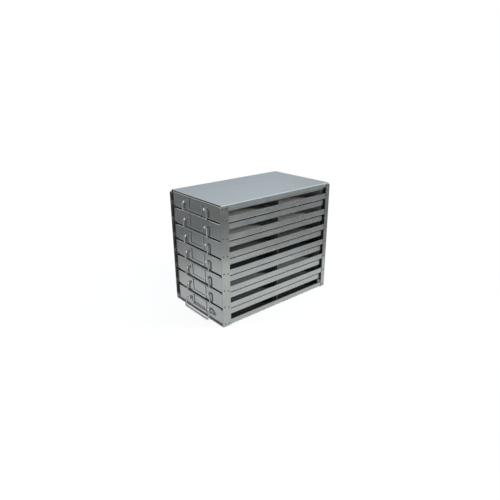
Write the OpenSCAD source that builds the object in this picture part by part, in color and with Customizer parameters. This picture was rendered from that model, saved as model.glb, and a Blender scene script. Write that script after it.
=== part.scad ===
// Freezer drawer rack: an open rack of folded sheet with seven sliding drawers and bail pulls.
// X runs across, the drawer fronts face -Y and Z is up.
// The origin is the middle of the base panel's underside.

/* [Rack] */
// Width over the corner posts
rack_w = 285; // [220:1:360]
// Depth over the corner posts
rack_d = 490; // [380:1:640]
// Height from one drawer to the next
drawer_pitch = 58; // [54:0.5:80]
// Thickness of the post, rail and top sheet
sheet_t = 1.2; // [0.8:0.1:1.8]
// Thickness of the base sheet
base_t = 2; // [1:0.1:2.2]
// Outside radius of the folds in the panels and the rear posts
fold_r = 3; // [2.5:0.1:4]
// How much lower the top bay and its drawer's front are than the others
top_trim = 2.5; // [0:0.1:2.5]
// How far the top panel lies behind the posts' front edges
top_setback = 6; // [0:0.5:6]
// Depth of the top panel's turned-down flanges
top_flange = 14; // [10:0.5:18]
// Height of the base panel's turned-up flanges
base_flange = 18.5; // [12:0.5:24]

/* [Posts and rails] */
// Width of the front posts
front_post_w = 32; // [24:0.5:45]
// Width of each leg of the rear posts
rear_post_leg = 20; // [14:0.5:30]
// How far the posts stop below the top
post_drop = 7; // [4:0.5:9]
// Radius of the front posts' cut corners
post_corner_r = 2; // [0.5:0.1:5]
// Height of a rail's upright leg
rail_leg = 20; // [14:0.5:24]
// Width of a rail's level leg, which carries the drawer
rail_shelf = 14; // [11:0.5:20]
// Outside radius of a rail's fold
rail_fold_r = 2.2; // [2:0.1:4]
// How far the rails stop short of the rack's front and of the back panel
rail_inset = 1; // [0.5:0.1:3]

/* [Drawers] */
// Thickness of the drawer sheet
drawer_t = 1; // [0.7:0.1:1.4]
// Outside radius of the folds in the tray and the divider
tray_fold_r = 2; // [1.6:0.1:3]
// Gap between a drawer front and the sheet beside it
side_clear = 3; // [0.6:0.1:4]
// Gap between a drawer and the rail that carries it
run_clear = 0.3; // [0.2:0.05:0.6]
// Gap between a drawer front and the sheet above it
top_clear = 3.8; // [3:0.1:5]
// How far the fronts lie behind the posts' front edges
front_recess = 7; // [2:0.5:12]
// Height of the tray's side lips
lip_h = 15; // [10:0.5:18]
// Space from the drawer's back wall to the rear posts' outer faces
back_space = 24; // [20:1:60]
// Width of the tray's tails, which reach the back panel
tail_w = 7; // [6:0.5:10]
// Gap between the tails and the back panel, which stops them
stop_gap = 0.5; // [0.3:0.1:1]

/* [Drawer fronts] */
// Depth of the pressed front pan
pan_d = 12; // [9:0.5:18]
// Corner radius of the front pan
pan_corner_r = 4; // [3.5:0.1:8]
// Outside radius of the front pan's edge
pan_edge_r = 2.4; // [1.6:0.1:3]
// Gap between the front pan and the tray's lips
lip_gap = 0.4; // [0.2:0.1:1]

/* [Gallery and divider] */
// Height of the gallery band
band_h = 19; // [12:0.5:24]
// Gap between the gallery band and the sheet above it
band_gap = 5.3; // [2.5:0.1:7]
// Outside radius of the gallery band's rear corners
band_corner_r = 3; // [2:0.5:6]
// Gap between the gallery band's front ends and the pan's front sheet
band_end_gap = 2; // [1.8:0.1:4]
// Height of the divider
divider_h = 46; // [38:0.5:50]
// Width of the divider's foot
divider_foot = 6; // [5:0.5:20]

/* [Label holder] */
// Width over the label holder
holder_w = 80; // [60:1:95]
// Height of the label holder
holder_h = 41; // [20:0.5:42]
// Width of the label holder's strips
holder_strip = 6; // [3:0.5:10]
// Thickness of the label holder's sheet
holder_t = 0.8; // [0.5:0.1:1.2]
// Width of the mitre slots at the label holder's lower corners
mitre_gap = 0.5; // [0.3:0.1:0.8]
// Gap behind the strips, which takes a card
card_gap = 1; // [0.6:0.1:1.5]
// Height of the label holder above the front's lower edge
holder_rise = 4; // [3:0.5:8]

/* [Bail pull] */
// Distance from the middle to each handle post
post_x = 58; // [53.5:0.5:70]
// Height of the pivot above the front's lower edge
pivot_rise = 27.5; // [25:0.5:34]
// Distance from the drawer front to the pivot
pivot_reach = 5.2; // [5.2:0.1:10]
// Diameter of the bail's wire
wire_d = 5.2; // [3:0.1:5.5]
// Diameter of the ball at the end of a handle post
ball_d = 9.5; // [8:0.1:10]
// Radial clearance of the wire in the ball's cross bore
wire_clear = 0.08; // [0.04:0.01:0.1]
// Drop from the pivot to the bail's bar
bail_drop = 30.5; // [22:0.5:31]
// Height of the lowest bail's bar above the ground, which holds that bail swung out
rest_gap = 0.4; // [0.2:0.1:2]
// Centre-line radius of the bail's upper bends
bail_elbow_r = 5; // [4:0.5:7]
// Centre-line radius of the bail's lower bends
bail_bow_r = 6; // [4:0.5:10]
// Gap between the ball and the bail's upper bend
elbow_gap = 0.6; // [0.4:0.1:2]
// How far the wire's ends stand out of the balls
wire_end = 0.6; // [0.2:0.1:1.5]
// Diameter of a handle post's shank
shank_d = 4; // [3:0.1:5]
// Radial clearance of the shank in its hole
shank_clear = 0.05; // [0.02:0.01:0.1]
// Diameter of a handle post's collar and of its closing head
collar_d = 8; // [6.5:0.1:9]
// Thickness of a handle post's collar and of its closing head
collar_t = 1.2; // [0.8:0.1:1.8]

/* [Hidden] */
$fn = 48;
drawer_count = 7;
rail_count = drawer_count - 1;
rack_h = base_t + drawer_count * drawer_pitch - top_trim;
cut = 1;

// Rack: faces of the posts and of the sheets inside them
front_y = -rack_d / 2;
rear_in_y = rack_d / 2 - sheet_t;
back_in_y = rear_in_y - sheet_t;
side_in_x = rack_w / 2 - sheet_t;
post_h = rack_h - post_drop;

// Drawer: sizes from the front's outer face and the shelf that carries the drawer
beside_t = max(base_t, sheet_t);
front_w = 2 * (side_in_x - beside_t - side_clear);
tray_w = front_w - 2 * drawer_t;
tray_in_w = tray_w - 2 * drawer_t;
floor_top = run_clear + drawer_t;
back_y = rack_d - front_recess - back_space;
tail_end_y = back_in_y - front_y - front_recess - stop_gap;
back_w = tray_w - 2 * tail_w;
band_top = drawer_pitch - sheet_t - band_gap;
divider_y = rack_d / 2 - front_recess;

// Bail: the wire's ends and legs from the handle post that carries them
pivot_z = floor_top + pivot_rise;
wire_in_x = post_x - ball_d / 2 - wire_end;
wire_out_x = post_x + ball_d / 2 + elbow_gap;
leg_x = wire_out_x + bail_elbow_r;
rest_tilt = acos(min(1, (base_t + pivot_z - wire_d / 2 - rest_gap) / bail_drop));

RACK_NODES = ["top_panel", "base_panel", "left_front_post", "right_front_post",
    "left_rear_post", "right_rear_post", "back_panel", "left_rails", "right_rails"];
DRAWER_NODES = ["drawer_tray", "gallery_band", "drawer_front", "divider", "label_holder",
    "handle_posts", "bail_handle"];

// Top face of the shelf that carries drawer k, counted from the top
function shelf_z(k) = base_t + drawer_pitch * (drawer_count - k);

// Top edge of drawer k's front, from its shelf
function front_top(k) = drawer_pitch - sheet_t - top_clear - (k == 1 ? top_trim : 0);

// Extrusion of an XZ profile from y0 to y1
module along_y(y0, y1) {
    translate([0, y1, 0]) rotate([90, 0, 0]) linear_extrude(y1 - y0) children();
}

// Extrusion of a YZ profile from x0 to x1
module along_x(x0, x1) {
    translate([x0, 0, 0]) rotate([90, 0, 90]) linear_extrude(x1 - x0) children();
}

// Outline of a trough, centred on X, with its floor on Y = 0
module trough_outline(w, h, r) {
    translate([-w / 2, r]) square([w, h - r]);
    translate([r - w / 2, 0]) square([w - 2 * r, h]);
    for (side = [-1, 1]) translate([side * (w / 2 - r), r]) circle(r);
}

// Sheet folded to a trough: a floor and two walls
module trough_profile(w, h, t, r) {
    difference() {
        trough_outline(w, h, r);
        translate([0, t]) trough_outline(w - 2 * t, h, r - t);
    }
}

// Sheet folded to an angle, with its outer corner on the origin
module angle_profile(leg_a, leg_b, t, r) {
    translate([r, 0]) square([leg_a - r, t]);
    translate([0, r]) square([t, leg_b - r]);
    intersection() {
        square(r);
        translate([r, r]) difference() {
            circle(r);
            circle(r - t);
        }
    }
}

// Strip with cut round corners, from the origin
module strip_outline(w, h, r) {
    translate([r, 0]) square([w - 2 * r, h]);
    translate([0, r]) square([w, h - 2 * r]);
    for (x = [r, w - r], y = [r, h - r]) translate([x, y]) circle(r);
}

// Panel of the rack: a floor with two side flanges and a rear flange turned up from it
module folded_panel(t, flange, setback) {
    along_y(front_y + setback, back_in_y - fold_r) trough_profile(2 * side_in_x, flange, t, fold_r);
    along_x(-back_w / 2, back_w / 2)
        translate([back_in_y, 0]) mirror([1, 0]) angle_profile(2 * fold_r, flange, t, fold_r);
}

module top_panel() {
    color("lightsteelblue")
        translate([0, 0, rack_h]) mirror([0, 0, 1]) folded_panel(sheet_t, top_flange, top_setback);
}

module base_panel() {
    color("slategray") folded_panel(base_t, base_flange, 0);
}

// Flat front post of the right side
module front_post() {
    along_x(side_in_x, side_in_x + sheet_t)
        translate([front_y, 0]) strip_outline(front_post_w, post_h, post_corner_r);
}

module right_front_post() {
    color("gray") front_post();
}

module left_front_post() {
    color("gray") mirror([1, 0, 0]) front_post();
}

// Angle round the right rear corner
module rear_post() {
    translate([side_in_x + sheet_t, rear_in_y + sheet_t, 0]) rotate(180)
        linear_extrude(post_h) angle_profile(rear_post_leg, rear_post_leg, sheet_t, fold_r);
}

module right_rear_post() {
    color("darkgray") rear_post();
}

module left_rear_post() {
    color("darkgray") mirror([1, 0, 0]) rear_post();
}

// Flat sheet inside the rear posts and behind the panels' rear flanges
module back_panel() {
    half_w = side_in_x - fold_r;
    color("gray") translate([-half_w, back_in_y, 0]) cube([2 * half_w, sheet_t, post_h]);
}

// Six rails of the left side, each an angle with its level leg turned inward
module rails() {
    for (k = [1:rail_count])
        along_y(front_y + rail_inset, back_in_y - rail_inset)
            translate([-side_in_x, shelf_z(k) - sheet_t])
                angle_profile(rail_shelf, rail_leg, sheet_t, rail_fold_r);
}

module left_rails() {
    color("silver") rails();
}

module right_rails() {
    color("silver") mirror([1, 0, 0]) rails();
}

// Place of drawer k: its front's outer face is on Y = 0 and its shelf on Z = 0
module in_bay(k) {
    translate([0, front_y + front_recess, shelf_z(k)]) children();
}

// Folded floor and lips, with a tongue under the front pan, a back wall and two tails
module drawer_tray(k) {
    tongue_w = front_w - 2 * pan_corner_r;
    color("dimgray") in_bay(k) translate([0, 0, run_clear]) {
        difference() {
            along_y(pan_d + lip_gap, tail_end_y) trough_profile(tray_w, lip_h, drawer_t, tray_fold_r);
            translate([-back_w / 2, back_y - tray_fold_r, -cut])
                cube([back_w, tail_end_y - back_y + tray_fold_r + cut, lip_h + 2 * cut]);
        }
        translate([-tongue_w / 2, pan_edge_r, 0])
            cube([tongue_w, pan_d + 2 * lip_gap - pan_edge_r, drawer_t]);
        along_x(-back_w / 2, back_w / 2) translate([back_y, 0]) mirror([1, 0])
            angle_profile(2 * tray_fold_r, band_top - run_clear, drawer_t, tray_fold_r);
    }
}

// Strip bent round the tray's sides and back, with its front ends cut to enter the pan
module gallery_band(k) {
    rear_y = back_y + drawer_t;
    start_y = drawer_t + band_end_gap;
    snip_z = front_top(k) - pan_corner_r;
    color("lightgray") in_bay(k) difference() {
        translate([0, rear_y, band_top - band_h]) linear_extrude(band_h)
            mirror([0, 1]) trough_profile(tray_w, rear_y - start_y, drawer_t, band_corner_r);
        translate([-front_w / 2, start_y - cut, snip_z])
            cube([front_w, pan_d + lip_gap - start_y + cut, drawer_pitch]);
    }
}

// Section of the pan's rim: front sheet, round edge and side wall, with the corner's centre on X = 0
module pan_rim_profile() {
    bend_x = pan_corner_r - pan_edge_r;
    square([bend_x, drawer_t]);
    translate([pan_corner_r - drawer_t, pan_edge_r]) square([drawer_t, pan_d - pan_edge_r]);
    translate([bend_x, 0]) intersection() {
        square(pan_edge_r);
        translate([0, pan_edge_r]) difference() {
            circle(pan_edge_r);
            circle(pan_edge_r - drawer_t);
        }
    }
}

// Straight piece of the rim, running along Y, with the rim's outside towards +X
module pan_edge(length) {
    along_y(-length / 2, length / 2) pan_rim_profile();
}

// Pressed pan of height h, drawn with its front down on Z = 0 and its middle on the origin
module front_pan(h) {
    flat_w = front_w - 2 * pan_corner_r;
    flat_h = h - 2 * pan_corner_r;
    translate([-flat_w / 2, -flat_h / 2, 0]) cube([flat_w, flat_h, drawer_t]);
    for (side = [0, 180]) rotate(side) {
        translate([flat_w / 2, 0, 0]) pan_edge(flat_h);
        rotate(90) translate([flat_h / 2, 0, 0]) pan_edge(flat_w);
        translate([flat_w / 2, flat_h / 2, 0]) rotate_extrude(angle = 90) pan_rim_profile();
        translate([-flat_w / 2, flat_h / 2, 0]) rotate(90) rotate_extrude(angle = 90) pan_rim_profile();
    }
}

module drawer_front(k) {
    pan_h = front_top(k) - floor_top;
    color("gray") in_bay(k) difference() {
        translate([0, 0, floor_top + pan_h / 2]) rotate([-90, 0, 0]) front_pan(pan_h);
        for (side = [-1, 1]) translate([side * post_x, -cut, pivot_z])
            rotate([-90, 0, 0]) cylinder(h = drawer_t + 2 * cut, d = shank_d + 2 * shank_clear);
    }
}

// Cross wall whose ends meet the band and the lips, with a foot on the floor
module divider(k) {
    foot_w = tray_in_w - 2 * tray_fold_r;
    color("gray") in_bay(k) translate([0, divider_y, floor_top]) {
        translate([-tray_in_w / 2, 0, tray_fold_r])
            cube([tray_in_w, drawer_t, divider_h - tray_fold_r]);
        along_x(-foot_w / 2, foot_w / 2)
            angle_profile(divider_foot, 2 * tray_fold_r, drawer_t, tray_fold_r);
    }
}

// Three-sided frame, open at the top, of a given strip width
module holder_outline(strip) {
    difference() {
        translate([-holder_w / 2, 0]) square([holder_w, holder_h]);
        translate([strip - holder_w / 2, strip]) square([holder_w - 2 * strip, holder_h]);
    }
}

// Strips of the frame, parted by mitre slots that stop at the rim
module holder_strips() {
    difference() {
        holder_outline(holder_strip);
        for (side = [-1, 1]) translate([side * (holder_w / 2 - holder_t), holder_t])
            rotate(90 + side * 45) translate([0, -mitre_gap / 2]) square([2 * holder_strip, mitre_gap]);
    }
}

// Card frame: a rim that stands on the front and strips over the card
module label_holder(k) {
    color("darkgray") in_bay(k) translate([0, 0, floor_top + holder_rise]) rotate([90, 0, 0]) {
        linear_extrude(card_gap + holder_t) holder_outline(holder_t);
        translate([0, 0, card_gap]) linear_extrude(holder_t) holder_strips();
    }
}

// Riveted post with a ball head, drawn along Z from the front's outer face
module handle_post() {
    difference() {
        union() {
            cylinder(h = collar_t, d = collar_d);
            cylinder(h = pivot_reach, d = shank_d);
            translate([0, 0, pivot_reach]) sphere(d = ball_d);
            translate([0, 0, -drawer_t]) cylinder(h = drawer_t + collar_t, d = shank_d);
            translate([0, 0, -drawer_t - collar_t]) cylinder(h = collar_t, d1 = shank_d, d2 = collar_d);
        }
        translate([-ball_d, 0, pivot_reach]) rotate([0, 90, 0])
            cylinder(h = 2 * ball_d, d = wire_d + 2 * wire_clear);
    }
}

module handle_posts(k) {
    color("whitesmoke") in_bay(k)
        for (side = [-1, 1]) translate([side * post_x, 0, pivot_z]) rotate([90, 0, 0]) handle_post();
}

// Quarter bend of the bail's wire in the XZ plane, from start to start + 90 degrees
module wire_bend(r, start) {
    rotate([90, 0, 0]) rotate(start) rotate_extrude(angle = 90) translate([r, 0]) circle(d = wire_d);
}

// Right half of the bail, drawn from its pivot line
module half_bail() {
    bar_half = leg_x - bail_bow_r;
    leg_foot = bail_bow_r - bail_drop;
    translate([wire_in_x, 0, 0]) rotate([0, 90, 0]) cylinder(h = wire_out_x - wire_in_x, d = wire_d);
    translate([wire_out_x, 0, -bail_elbow_r]) wire_bend(bail_elbow_r, 0);
    translate([leg_x, 0, leg_foot]) cylinder(h = -bail_elbow_r - leg_foot, d = wire_d);
    translate([bar_half, 0, leg_foot]) wire_bend(bail_bow_r, -90);
    translate([0, 0, -bail_drop]) rotate([0, 90, 0]) cylinder(h = bar_half, d = wire_d);
}

// Bail of drawer k, hanging straight down, or as far as the ground lets the lowest one
module bail_handle(k) {
    tilt = k == drawer_count ? -rest_tilt : 0;
    color("silver") in_bay(k) translate([0, -pivot_reach, pivot_z]) rotate([tilt, 0, 0]) {
        half_bail();
        mirror([1, 0, 0]) half_bail();
    }
}

top_panel();
base_panel();
left_front_post();
right_front_post();
left_rear_post();
right_rear_post();
back_panel();
left_rails();
right_rails();
for (k = [1:drawer_count]) {
    drawer_tray(k);
    gallery_band(k);
    drawer_front(k);
    divider(k);
    label_holder(k);
    handle_posts(k);
    bail_handle(k);
}
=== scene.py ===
# Freezer drawer rack: studio, camera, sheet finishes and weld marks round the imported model
import math

import bmesh
import bpy
from mathutils import Matrix, Vector


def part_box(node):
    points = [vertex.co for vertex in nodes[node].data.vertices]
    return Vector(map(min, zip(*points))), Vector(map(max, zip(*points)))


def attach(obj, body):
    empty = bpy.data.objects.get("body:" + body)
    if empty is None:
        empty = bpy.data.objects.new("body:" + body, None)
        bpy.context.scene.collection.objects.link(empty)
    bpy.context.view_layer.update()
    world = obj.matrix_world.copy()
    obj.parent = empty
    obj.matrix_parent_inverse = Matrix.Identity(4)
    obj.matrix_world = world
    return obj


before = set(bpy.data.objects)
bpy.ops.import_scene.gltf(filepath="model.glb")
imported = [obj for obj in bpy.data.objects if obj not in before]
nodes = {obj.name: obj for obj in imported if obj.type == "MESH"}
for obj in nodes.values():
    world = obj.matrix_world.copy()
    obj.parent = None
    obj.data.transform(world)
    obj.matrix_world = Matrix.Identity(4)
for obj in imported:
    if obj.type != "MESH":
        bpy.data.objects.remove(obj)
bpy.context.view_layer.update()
scene = bpy.context.scene
drawers = range(1, 1 + sum(name.startswith("drawer_front_") for name in nodes))
rackLow = Vector(map(min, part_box("left_front_post")[0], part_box("base_panel")[0]))
rackHigh = Vector(map(max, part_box("right_rear_post")[1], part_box("top_panel")[1]))
rackHeight = rackHigh.z - rackLow.z
print("frame:", len(nodes), "nodes,", len(drawers), "drawers, rack", tuple(rackHigh - rackLow))


# Shader maths: operators on a signal add the nodes
class Signal:
    def __init__(self, finish, socket):
        self.finish = finish
        self.socket = socket

    def math(self, operation, *values):
        return self.finish.node("Math", {"operation": operation}, dict(enumerate(values)))

    def __add__(self, other):
        return self.math("ADD", self, other)

    def __radd__(self, other):
        return self.math("ADD", other, self)

    def __sub__(self, other):
        return self.math("SUBTRACT", self, other)

    def __rsub__(self, other):
        return self.math("SUBTRACT", other, self)

    def __mul__(self, other):
        return self.math("MULTIPLY", self, other)

    def __rmul__(self, other):
        return self.math("MULTIPLY", other, self)

    def __abs__(self):
        return self.math("ABSOLUTE", self)

    def top(self, other):
        return self.math("MAXIMUM", self, other)

    def between(self, low, high):
        ends = {"From Min": low, "From Max": high, "Value": self}
        return self.finish.node("MapRange", {"interpolation_type": "SMOOTHSTEP"}, ends)


# One material and its node tree
class Finish:
    def __init__(self, name):
        self.material = bpy.data.materials.new(name)
        self.material.use_nodes = True
        self.tree = self.material.node_tree
        self.tree.nodes.clear()
        self.place = self.node("TexCoord", output="Object")

    def node(self, kind, settings=None, inputs=None, output=0):
        made = self.tree.nodes.new("ShaderNode" + kind)
        for name, value in (settings or {}).items():
            setattr(made, name, value)
        for name, value in (inputs or {}).items():
            if isinstance(value, Signal):
                self.tree.links.new(value.socket, made.inputs[name])
            else:
                made.inputs[name].default_value = value
        return Signal(self, made.outputs[output])

    def vector(self, operation, first, second=None, output=0):
        values = {0: first} if second is None else {0: first, 1: second}
        return self.node("VectorMath", {"operation": operation}, values, output)

    def scaled(self, vector, factor):
        return self.node("VectorMath", {"operation": "SCALE"}, {0: vector, "Scale": factor})

    def noise(self, perMetre, detail, roughness):
        spread = self.vector("MULTIPLY", self.place, perMetre)
        inputs = {"Vector": spread, "Scale": 1.0, "Detail": detail, "Roughness": roughness}
        return self.node("TexNoise", {}, inputs)

    def mix(self, factor, first, second):
        return self.node("Mix", {"data_type": "RGBA"}, {0: factor, 6: first, 7: second}, 2)

    def close(self, surface):
        end = self.tree.nodes.new("ShaderNodeOutputMaterial")
        self.tree.links.new(surface.socket, end.inputs["Surface"])
        return self.material


def colour(red, green, blue):
    return (red, green, blue, 1.0)


def toned(shade, tone):
    return colour(*(tone * v for v in shade[:3]))


def dress(names, material):
    for name in names:
        slots = nodes[name].data.materials
        slots.clear()
        slots.append(material)


# Camera: the place that the photograph was taken from, in rack heights from the base's front middle
photoView = {
    "turn": 50.05,  # degrees from the fronts towards the right side
    "rise": 21.15,  # degrees above the horizon
    "roll": -0.33,  # degrees
    "distance": 4.0286,
    "aim": (-0.0338, 0.6042, 0.3999),
    "focalPixels": 441.9,
    "framePixels": 500,
    "sensor": 36.0,  # millimetres
    "clipEnd": 100,
}


def makeCamera(view):
    turn, rise, roll = (math.radians(view[name]) for name in ("turn", "rise", "roll"))
    back = Vector((math.sin(turn) * math.cos(rise), -math.cos(turn) * math.cos(rise), math.sin(rise)))
    level = Vector((0, 0, 1)).cross(back).normalized()
    upright = back.cross(level)
    right = math.cos(roll) * level + math.sin(roll) * upright
    up = math.cos(roll) * upright - math.sin(roll) * level
    frontMiddle = Vector((0, rackLow.y, rackLow.z))
    place = frontMiddle + rackHeight * (Vector(view["aim"]) + view["distance"] * back)
    data = bpy.data.cameras.new("photoCamera")
    data.sensor_width = view["sensor"]
    data.lens = view["focalPixels"] / view["framePixels"] * view["sensor"]
    data.clip_end = view["clipEnd"]
    camera = bpy.data.objects.new("photoCamera", data)
    camera.matrix_world = Matrix((right, up, back)).transposed().to_4x4()
    camera.location = place
    scene.collection.objects.link(camera)
    scene.camera = camera


makeCamera(photoView)
scene.view_settings.view_transform = "Standard"
print("camera: focal length", round(scene.camera.data.lens, 2), "mm")


# Sheet steel: brushed along one axis on its outer side, dull as rolled on its inner side; on some sheets
# the inner sides, flanks and edges are darkened as painted shade, and bends and edges elsewhere carry a
# painted highlight
brushMarks = {
    "grainDetail": (3.0, 0.65),  # octaves of the noise, and how rough it is
    "cloudDetail": (4.0, 0.6),
    "smearDetail": (2.0, 0.5),
    "smearScale": 0.02,  # smears for each line of the grain
    "bevelSamples": 4,
    "edgeTurn": (0.01, 0.12),  # how far the rounded normal leaves the flat one
    "foldTurn": (0.005, 0.08),  # how far a face leaves the rack's three axes
    "flankTurn": (0.3, 0.9),  # how squarely a face looks along the outer axis
    "insideTurn": (0.2, 0.6),  # how squarely a face looks back at the rack's middle
    "cloudCut": (0.3, 0.7),
    "flankDip": 0.92,  # the flank's tone where the cloud is darkest
    "streakFrom": 0.35,
    "cloudRoughness": 0.10,
    "smearRoughness": 0.08,
}


def brushedSheet(name, look):
    finish = Finish(name)
    marks = brushMarks
    grainAxis = Vector(look["grain"])
    lines, streaks = look["linesPerMetre"], look["streaksPerMetre"]
    across = tuple(lines * (1 - abs(v)) + streaks * abs(v) for v in grainAxis)
    grain = finish.noise(across, *marks["grainDetail"])
    cloud = finish.noise((look["cloudsPerMetre"],) * 3, *marks["cloudDetail"])
    smear = finish.noise(tuple(v * marks["smearScale"] for v in across), *marks["smearDetail"])
    facing = finish.node("NewGeometry", output="Normal")
    rounded = finish.node("Bevel", {"samples": marks["bevelSamples"]}, {"Radius": look["edge"]})
    edge = 1 - finish.vector("DOT_PRODUCT", facing, rounded, "Value")
    edge = edge.between(*marks["edgeTurn"])
    alongX, alongY, alongZ = (abs(finish.node("SeparateXYZ", {}, {0: facing}, axis)) for axis in "XYZ")
    foldHighlightMask = (1 - alongX.top(alongY).top(alongZ)).between(*marks["foldTurn"])
    square = abs(finish.vector("DOT_PRODUCT", facing, look["outer"], "Value"))
    turned = 1 - square.between(*marks["flankTurn"])
    fromMiddle = finish.vector("SUBTRACT", finish.place, tuple((rackLow + rackHigh) / 2))
    outward = finish.vector("MULTIPLY", fromMiddle, look["outer"])
    outward = finish.vector("NORMALIZE", outward)
    inside = (0 - finish.vector("DOT_PRODUCT", facing, outward, "Value")).between(*marks["insideTurn"])
    sideways = finish.vector("CROSS_PRODUCT", rounded, tuple(grainAxis))
    tilt = finish.scaled(sideways, (grain - 0.5) * look["spread"])
    normal = finish.vector("NORMALIZE", finish.vector("ADD", rounded, tilt))
    clouded = cloud.between(*marks["cloudCut"])
    base = finish.mix(clouded, look["deep"], look["colour"])
    # faces turned off the outer axis take the flank tone; on rails, posts, fronts and holders it is painted
    # shade
    flank = finish.mix(clouded, toned(look["flank"], marks["flankDip"]), look["flank"])
    base = finish.mix(turned, base, flank)
    base = finish.mix((grain - marks["streakFrom"]) * look["streak"], base, look["streakAndPaintedFoldHighlight"])
    # edges take the edge tone: a painted highlight on most sheets, painted shade on posts, rails and bands
    base = finish.mix(edge * look["paintedEdgeShare"], base, look["paintedEdgeTone"])
    # bends take a painted highlight
    base = finish.mix(foldHighlightMask * look["paintedFoldHighlight"], base, look["streakAndPaintedFoldHighlight"])
    # inner sides take the inner tone: dull rolled steel, near black as painted shade on the posts, base and
    # fronts
    base = finish.mix(inside, base, look["rolledAndShadedInside"])
    rough = look["roughness"] + inside * look["dullness"]
    rough = rough + (cloud - 0.5) * marks["cloudRoughness"] + (smear - 0.5) * marks["smearRoughness"]
    metallic = look["metallic"] - inside * look["film"]
    metallic = metallic.top((1 - turned) * (1 - inside) * look["outerMetal"])
    surface = finish.node("BsdfPrincipled", {}, {
        "Base Color": base, "Metallic": metallic, "Roughness": rough, "Normal": normal})
    return finish.close(surface)


rackSheet = {
    "colour": colour(0.375, 0.400, 0.398),
    "deep": colour(0.340, 0.364, 0.363),
    # lighter grain streaks, and the painted highlight on bends
    "streakAndPaintedFoldHighlight": colour(0.62, 0.64, 0.64),
    # painted highlight along the edges
    "paintedEdgeTone": colour(0.62, 0.64, 0.64),
    "flank": colour(0.33, 0.345, 0.34),
    "rolledAndShadedInside": colour(0.20, 0.19, 0.175),
    "outer": (1, 0, 0),  # outward is away from the middle along this axis
    "grain": (0, 1, 0),
    "linesPerMetre": 1600,
    "streaksPerMetre": 9,
    "cloudsPerMetre": 14,
    "spread": 0.75,
    "streak": 0.20,
    "edge": 0.0010,  # metres beside an edge that take the painted edge tone
    "paintedEdgeShare": 0.6,
    "paintedFoldHighlight": 0.8,
    "roughness": 0.28,
    "metallic": 0.92,
    "outerMetal": 0.92,  # the least that the outer side has
    "dullness": 0.15,  # more roughness on the inner side
    "film": 0.4,  # less metal showing on the inner side
}
railSheet = rackSheet | {
    # the flank and edge tones are painted shade on the rails' shelves and edges
    "flank": colour(0.10, 0.10, 0.095),
    "paintedEdgeTone": colour(0.10, 0.10, 0.095),
    "edge": 0.0014,
    "paintedEdgeShare": 0.9,
}
bandSheet = rackSheet | {
    # the edge tone is painted shade along the bands' edges
    "paintedEdgeTone": colour(0.05, 0.05, 0.047),
    "edge": 0.0020,
    "paintedEdgeShare": 0.9,
}
topSheet = rackSheet | {
    # steel tone with a painted bluish sky reflection on the up-facing side; the side flanges keep the grey
    # flank tone
    "colour": colour(0.360, 0.430, 0.475),
    "deep": colour(0.350, 0.418, 0.462),
    "streakAndPaintedFoldHighlight": colour(0.62, 0.65, 0.65),
    "flank": colour(0.430, 0.480, 0.482),
    "outer": (0, 0, 1),
    "spread": 0.20,
    "streak": 0.05,
}
postSheet = rackSheet | {
    # the inner, flank and edge tones are painted shade in the gap beside the drawer fronts
    "grain": (0, 0, 1),
    "colour": colour(0.350, 0.372, 0.355),
    "deep": colour(0.320, 0.340, 0.325),
    "rolledAndShadedInside": colour(0.07, 0.066, 0.06),
    "paintedEdgeTone": colour(0.09, 0.085, 0.08),
    "flank": colour(0.16, 0.16, 0.15),
    "spread": 0.20,
    "roughness": 0.15,
}
leftPostSheet = postSheet | {
    # darker painted shade on the left post's inner face, flanks and edges
    "rolledAndShadedInside": colour(0.09, 0.09, 0.083),
    "flank": colour(0.06, 0.06, 0.055),
    "paintedEdgeTone": colour(0.05, 0.05, 0.045),
}
# the base's upper face is near black as painted shade under the drawers
baseSheet = rackSheet | {"outer": (0, 0, 1), "rolledAndShadedInside": colour(0.03, 0.03, 0.028)}
backSheet = rackSheet | {"grain": (0, 0, 1), "outer": (0, 1, 0)}
frontSheet = rackSheet | {
    # the inner and flank tones are painted shade on the pans' rims and returns, and the edges carry a
    # painted highlight
    "grain": (1, 0, 0),
    "outer": (0, 1, 0),
    "colour": colour(0.325, 0.342, 0.338),
    "deep": colour(0.295, 0.312, 0.312),
    "rolledAndShadedInside": colour(0.05, 0.048, 0.045),
    "flank": colour(0.08, 0.078, 0.075),
    "roughness": 0.12,
    "spread": 0.25,
    "paintedEdgeShare": 0.9,
}
traySheet = rackSheet | {
    # the colour and deep tones are painted shade: the trays' outward sides, seen through the gaps, are near
    # black; the flank and inner tones are the trays' own steel
    "colour": colour(0.045, 0.045, 0.043),
    "deep": colour(0.035, 0.035, 0.033),
    "rolledAndShadedInside": colour(0.41, 0.405, 0.375),
    "flank": colour(0.42, 0.418, 0.395),
    "paintedEdgeTone": colour(0.20, 0.20, 0.19),
    "paintedFoldHighlight": 0.2,
    "roughness": 0.38,
    "film": 0.0,
    "dullness": 0.0,
}
trayTones = {  # each tray's tone and metallic, darker or paler drawer by drawer: the less metallic ones look paler inside
    1: (1.20, 0.25),
    2: (1.05, 0.25),
    3: (0.75, 0.72),
    4: (0.55, 0.92),
    5: (0.85, 0.45),
    6: (0.70, 0.76),
    7: (0.55, 0.92),
}
dividerSheet = traySheet | {
    "grain": (1, 0, 0),
    "outer": (0, 1, 0),
    "colour": colour(0.40, 0.395, 0.37),
    "deep": colour(0.36, 0.355, 0.335),
    "metallic": 0.75,
}
holderSheet = frontSheet | {
    # the flank tone is painted shade on the sides of the holder's strips
    "colour": colour(0.40, 0.42, 0.42),
    "deep": colour(0.37, 0.39, 0.39),
    "flank": colour(0.20, 0.21, 0.21),
    "paintedEdgeShare": 0.3,
    "paintedFoldHighlight": 0.2,
}

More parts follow.
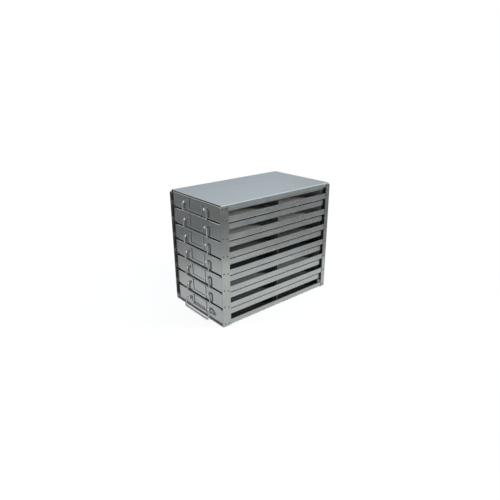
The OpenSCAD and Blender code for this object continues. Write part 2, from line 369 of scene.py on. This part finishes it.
dress(["top_panel"], brushedSheet("topSheet", topSheet))
dress(["left_rails", "right_rails"], brushedSheet("railSheet", railSheet))
dress(["base_panel"], brushedSheet("baseSheet", baseSheet))
dress(["right_front_post", "left_rear_post", "right_rear_post"], brushedSheet("postSheet", postSheet))
dress(["left_front_post"], brushedSheet("leftPostSheet", leftPostSheet))
dress(["back_panel"], brushedSheet("backSheet", backSheet))
dress([f"drawer_front_{k}" for k in drawers], brushedSheet("frontSheet", frontSheet))
dress([f"gallery_band_{k}" for k in drawers], brushedSheet("bandSheet", bandSheet))
trayShades = ("colour", "deep", "rolledAndShadedInside", "flank", "streakAndPaintedFoldHighlight", "paintedEdgeTone")
for k, (tone, metallic) in trayTones.items():
    shades = {part: toned(traySheet[part], tone) for part in trayShades}
    dress([f"drawer_tray_{k}"], brushedSheet(f"traySheet{k}", traySheet | shades | {"metallic": metallic}))
dress([f"divider_{k}" for k in drawers], brushedSheet("dividerSheet", dividerSheet))
dress([f"label_holder_{k}" for k in drawers], brushedSheet("holderSheet", holderSheet))
print("sheets: brushed finishes on the rack and the drawers")


# Bail wire and turned posts
def drawnWire(name, look):
    finish = Finish(name)
    pits = finish.noise((look["pitsPerMetre"],) * 3, *look["pitDetail"])
    cloud = finish.noise((look["cloudsPerMetre"],) * 3, *look["cloudDetail"])
    base = finish.mix(cloud.between(*look["cloudCut"]), look["deep"], look["colour"])
    rough = look["roughness"] + (pits - 0.5) * look["pitRoughness"]
    height = {"Height": pits, "Strength": look["pitStrength"], "Distance": look["pitDepth"]}
    bump = finish.node("Bump", {}, height)
    surface = finish.node("BsdfPrincipled", {}, {
        "Base Color": base, "Metallic": 1.0, "Roughness": rough, "Normal": bump})
    return finish.close(surface)


bailWire = {
    "colour": colour(0.36, 0.38, 0.39),
    "deep": colour(0.27, 0.28, 0.29),
    "pitsPerMetre": 900,
    "pitDetail": (3.0, 0.6),
    "pitDepth": 0.00005,
    "pitStrength": 0.2,
    "pitRoughness": 0.2,
    "cloudsPerMetre": 120,
    "cloudDetail": (2.0, 0.5),
    "cloudCut": (0.3, 0.7),
    "roughness": 0.24,
}
ballPost = bailWire | {
    "colour": colour(0.66, 0.66, 0.65),
    "deep": colour(0.56, 0.56, 0.55),
    "roughness": 0.34,
}
dress([f"bail_handle_{k}" for k in drawers], drawnWire("bailWire", bailWire))
dress([f"handle_posts_{k}" for k in drawers], drawnWire("ballPost", ballPost))
print("pulls: wire and posts")


# Spot welds: small dished marks, browned by the heat
weldMark = {
    "rings": (  # share of the radius, height and heat
        (1.0, -0.00002, 0.25),
        (0.85, 0.00008, 0.7),
        (0.5, 0.00003, 1.0),
    ),
    "radius": 0.0029,
    "sides": 20,
    "frontSteps": ((0.0088, 0.002), (0.0240, -0.002)),  # from the front posts' front edges, and up
    "rearSteps": (0.008, 0.016),  # from the rear posts' outer corners
    "railRise": 0.0085,  # above the trays' undersides
    "baseRise": 0.0092,
    "topDrop": 0.0035,
    "backSteps": 6,  # along the back panel's upper and lower edges
    "steel": colour(0.065, 0.042, 0.025),
    "brown": colour(0.030, 0.017, 0.009),
    "brownFrom": (0.15, 0.75),  # of the heat
    "blotchesPerMetre": 900,
    "blotchDetail": (2.0, 0.5),
    "blotchHeat": 0.5,
    "metallic": 0.15,
    "roughness": 0.5,
    "blotchRoughness": 0.15,
}


def weldFinish(look):
    finish = Finish("weldMark")
    heat = finish.node("Attribute", {"attribute_name": "heat"}, output="Fac")
    blotch = finish.noise((look["blotchesPerMetre"],) * 3, *look["blotchDetail"])
    browned = (heat + (blotch - 0.5) * look["blotchHeat"]).between(*look["brownFrom"])
    base = finish.mix(browned, look["steel"], look["brown"])
    rough = look["roughness"] + blotch * look["blotchRoughness"]
    surface = finish.node("BsdfPrincipled", {}, {
        "Base Color": base, "Metallic": look["metallic"], "Roughness": rough})
    return finish.close(surface)


def makeWelds(name, spots, look, material):
    build = bmesh.new()
    heat = build.verts.layers.float.new("heat")
    for place, outward in spots:
        turn = outward.to_track_quat("Z", "Y").to_matrix().to_4x4()
        turn.translation = place
        rings = []
        for share, height, warmth in look["rings"]:
            reach = share * look["radius"]
            ring = []
            for step in range(look["sides"]):
                angle = math.tau * step / look["sides"]
                point = Vector((reach * math.cos(angle), reach * math.sin(angle), height))
                vert = build.verts.new(turn @ point)
                vert[heat] = warmth
                ring.append(vert)
            rings.append(ring)
        for outer, inner in zip(rings, rings[1:]):
            for step in range(look["sides"]):
                after = (step + 1) % look["sides"]
                build.faces.new((outer[step], outer[after], inner[after], inner[step]))
        build.faces.new(rings[-1])
    for face in build.faces:
        face.smooth = True
    mesh = bpy.data.meshes.new(name)
    build.to_mesh(mesh)
    build.free()
    mesh.materials.append(material)
    piece = bpy.data.objects.new(name, mesh)
    scene.collection.objects.link(piece)
    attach(piece, "rack")


def weldRack(look):
    material = weldFinish(look)
    backward = Vector((0, 1, 0))
    rows = [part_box(f"drawer_tray_{k}")[0].z + look["railRise"] for k in drawers][:-1]
    ends = [rackLow.z + look["baseRise"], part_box("right_front_post")[1].z - look["topDrop"]]
    for side, name in ((-1, "left"), (1, "right")):
        x = rackHigh.x if side > 0 else rackLow.x
        outward = Vector((side, 0, 0))
        front = []
        for step, up in look["frontSteps"]:
            heights = [z + up for z in rows] + ends
            front += [(Vector((x, rackLow.y + step, z)), outward) for z in heights]
        heights = rows + ends
        rear = [(Vector((x, rackHigh.y - step, z)), outward) for step in look["rearSteps"] for z in heights]
        cornerX = x - side * look["rearSteps"][1]
        corner = [(Vector((cornerX, rackHigh.y, z)), backward) for z in heights]
        makeWelds(name + "FrontWelds", front, look, material)
        makeWelds(name + "RearWelds", rear + corner, look, material)
    low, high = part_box("back_panel")
    count = look["backSteps"]
    across = [low.x + (high.x - low.x) * (step + 0.5) / count for step in range(count)]
    back = [(Vector((x, high.y, z)), backward) for x in across[1:-1] for z in ends]
    makeWelds("backWelds", back, look, material)
    print("welds:", len(rows + ends), "rows on each post")


weldRack(weldMark)


# Studio: pale floor, white surroundings, soft lamps, and shade cards that only reflections see
studio = {
    "floorReach": 30.0,
    "floorDrop": 0.0004,
    "floorColour": colour(0.90, 0.90, 0.90),
    "nearWhite": 0.84,  # share of plain white that the floor shows beside the rack
    "nook": {"reach": 0.016, "open": (0.45, 0.86), "samples": 16},  # dark where less sky is in reach
    "whiteFrom": (0.45, 1.1),  # metres from the middle
    "skyColour": colour(0.80, 0.88, 0.95),
    "skyLight": 0.75,
    "cardReach": 4.0,
    "cardRise": 0.002,
    "shades": (  # direction on the floor, then from, to and depth, in metres from the middle
        ((-1.0, 0.0, 0.0), ((0.20, 0.45, 0.40), (0.40, 0.80, 0.30))),
        ((0.80, 0.60, 0.0), ((0.48, 0.62, 0.50), (0.66, 1.05, 0.22))),
    ),
    "screenPlace": 1.6,  # left of the middle, and behind it
    "screenEnd": 1.7,  # right of the middle
    "screenFade": (0.55, 1.15),  # heights
    "screenShade": 0.30,  # share of white that the screens show at their feet
    "key": {"at": (-1.1, -1.9, 1.9), "size": 1.1, "power": 45.0, "gloss": False},
    "fill": {"at": (1.9, 2.1, 1.2), "size": 0.7, "power": 130.0, "gloss": False},
}


def seenDirectly(finish):
    path = {name: finish.node("LightPath", output=name) for name in (
        "Is Camera Ray", "Is Glossy Ray", "Is Transmission Ray")}
    return path["Is Camera Ray"].top(path["Is Glossy Ray"]).top(path["Is Transmission Ray"])


def groundSheet(name, reach, height, material):
    mesh = bpy.data.meshes.new(name)
    build = bmesh.new()
    bmesh.ops.create_grid(build, x_segments=1, y_segments=1, size=reach)
    build.to_mesh(mesh)
    build.free()
    mesh.materials.append(material)
    sheet = bpy.data.objects.new(name, mesh)
    sheet.location.z = rackLow.z + height
    scene.collection.objects.link(sheet)
    return sheet


def makeFloor(look):
    finish = Finish("paleFloor")
    matte = finish.node("BsdfDiffuse", {}, {"Color": look["floorColour"]})
    white = finish.node("Emission", {}, {"Color": colour(1, 1, 1), "Strength": 1.0})
    away = finish.vector("LENGTH", finish.place, output="Value").between(*look["whiteFrom"])
    nook = look["nook"]
    sky = finish.node("AmbientOcclusion", {"samples": nook["samples"]}, {"Distance": nook["reach"]}, "AO")
    share = seenDirectly(finish) * (look["nearWhite"] + away * (1 - look["nearWhite"]))
    share = share * sky.between(*nook["open"])
    surface = finish.node("MixShader", {}, {0: share, 1: matte, 2: white})
    groundSheet("floor", look["floorReach"], -look["floorDrop"], finish.close(surface))


def forReflections(card):
    for ray in ("camera", "diffuse", "transmission", "volume_scatter", "shadow"):
        setattr(card, "visible_" + ray, False)


def shadeFinish(name, dark):
    finish = Finish(name)
    white = finish.node("Emission", {}, {"Color": colour(1, 1, 1), "Strength": 1.0})
    black = finish.node("Emission", {}, {"Color": colour(0, 0, 0), "Strength": 0.0})
    return finish.close(finish.node("MixShader", {}, {0: dark(finish), 1: white, 2: black}))


def makeCards(look):
    def groundDark(finish):
        fades = []
        for direction, steps in look["shades"]:
            away = finish.vector("DOT_PRODUCT", finish.place, direction, "Value")
            first, second = (away.between(low, high) * depth for low, high, depth in steps)
            fades.append(first + second)
        return fades[0].top(fades[1])

    def screenDark(finish):
        height = finish.node("SeparateXYZ", {}, {0: finish.place}, "Z")
        return (1 - height.between(*look["screenFade"])) * (1 - look["screenShade"])

    material = shadeFinish("groundShade", groundDark)
    forReflections(groundSheet("groundCard", look["cardReach"], look["cardRise"], material))
    material = shadeFinish("screenShade", screenDark)
    reach, place, top = look["cardReach"], look["screenPlace"], look["screenFade"][1]
    ends = {
        "leftScreen": ((-place, -reach), (-place, place)),
        "rearScreen": ((-place, place), (look["screenEnd"], place)),
    }
    for name, (start, end) in ends.items():
        mesh = bpy.data.meshes.new(name)
        corners = [(*start, 0), (*end, 0), (*end, top), (*start, top)]
        mesh.from_pydata(corners, [], [(0, 1, 2, 3)])
        mesh.materials.append(material)
        screen = bpy.data.objects.new(name, mesh)
        scene.collection.objects.link(screen)
        forReflections(screen)


class WorldFinish(Finish):
    def __init__(self, world):
        world.use_nodes = True
        self.tree = world.node_tree
        self.tree.nodes.clear()
        self.place = None

    def close(self, surface):
        end = self.tree.nodes.new("ShaderNodeOutputWorld")
        self.tree.links.new(surface.socket, end.inputs["Surface"])


def makeSky(look):
    scene.world = bpy.data.worlds.new("studio")
    finish = WorldFinish(scene.world)
    light = finish.node("Background", {}, {"Color": look["skyColour"], "Strength": look["skyLight"]})
    white = finish.node("Background", {}, {"Color": colour(1, 1, 1), "Strength": 1.0})
    finish.close(finish.node("MixShader", {}, {0: seenDirectly(finish), 1: light, 2: white}))


def makeLamp(name, look):
    data = bpy.data.lights.new(name, "AREA")
    data.size = look["size"]
    data.energy = look["power"]
    lamp = bpy.data.objects.new(name, data)
    lamp.location = look["at"]
    middle = (rackLow + rackHigh) / 2
    lamp.rotation_euler = (middle - lamp.location).to_track_quat("-Z", "Y").to_euler()
    lamp.visible_glossy = look["gloss"]
    scene.collection.objects.link(lamp)


makeFloor(studio)
makeCards(studio)
makeSky(studio)
makeLamp("key", studio["key"])
makeLamp("fill", studio["fill"])
print("studio: floor, cards, sky and lamps")
